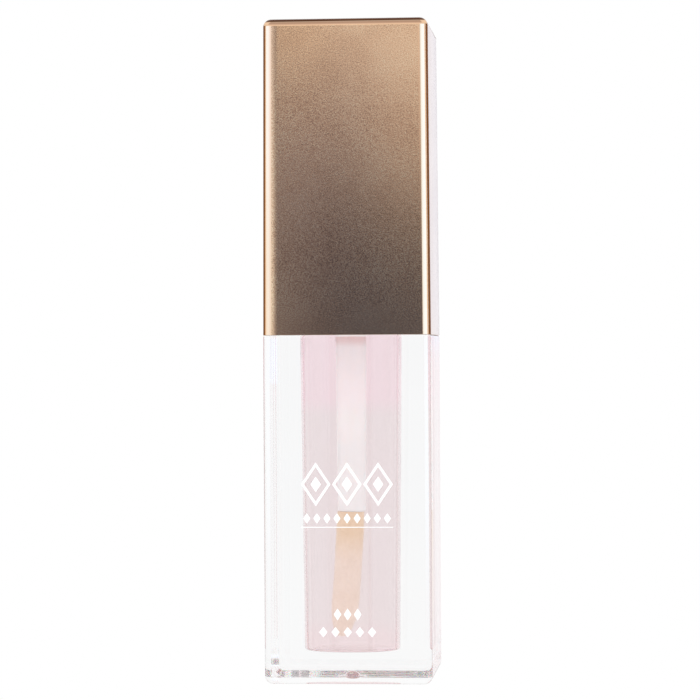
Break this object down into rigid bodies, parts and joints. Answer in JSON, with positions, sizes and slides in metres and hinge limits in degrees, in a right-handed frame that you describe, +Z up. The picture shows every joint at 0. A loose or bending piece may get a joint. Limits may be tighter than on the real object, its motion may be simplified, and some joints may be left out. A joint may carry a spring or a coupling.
{
  "type": "lip gloss tube",
  "caption": "Square thick-walled clear lip gloss bottle with a metallised square screw cap, a wand and a flocked doe-foot tip.",
  "frame": {"origin": "centre of the flat base, on the surface that the tube stands on", "axes": "+Z up along the tube from base to cap; the printed front face looks towards -Y"},
  "size_m": [0.02, 0.02, 0.0792],
  "materials": {
    "bottle_clear": "gloss",
    "gloss_pink": "gloss",
    "wiper_soft": "satin",
    "seal_foam": "matte",
    "rod_plastic": "satin",
    "core_plastic": "satin",
    "flock_fibre": "matte",
    "cap_metallised": "satin",
    "inner_cap_plastic": "satin"
  },
  "bodies": {
    "bottle": {"bottle": "bottle_clear", "gloss_fill": "gloss_pink", "wiper": "wiper_soft"},
    "liner": {"cap_seal": "seal_foam"},
    "wand": {"wand_rod": "rod_plastic", "applicator_core": "core_plastic", "applicator_flock": "flock_fibre"},
    "cap": {"cap_shell": "cap_metallised", "inner_cap_skirt": "inner_cap_plastic", "inner_cap_crown": "inner_cap_plastic"}
  },
  "joints": [
    {"name": "cap_pull_off", "type": "slide", "parent": "bottle", "child": "liner", "axis": [0, 0, 1], "range_m": [0, 0.055], "deforming": ["gloss_fill", "wiper"]},
    {"name": "cap_rise", "type": "slide", "parent": "liner", "child": "wand", "axis": [0, 0, 1], "range_m": [0, 0.0046], "deforming": ["gloss_fill", "wiper"]},
    {"name": "cap_unscrew", "type": "hinge", "parent": "wand", "child": "cap", "pos_m": [0, 0, 0.0415], "axis": [0, 0, 1], "range_deg": [0, 540]}
  ],
  "couplings": [
    {"joint": "cap_rise", "follows": "cap_unscrew", "m_per_rad": 0.00047746}
  ]
}
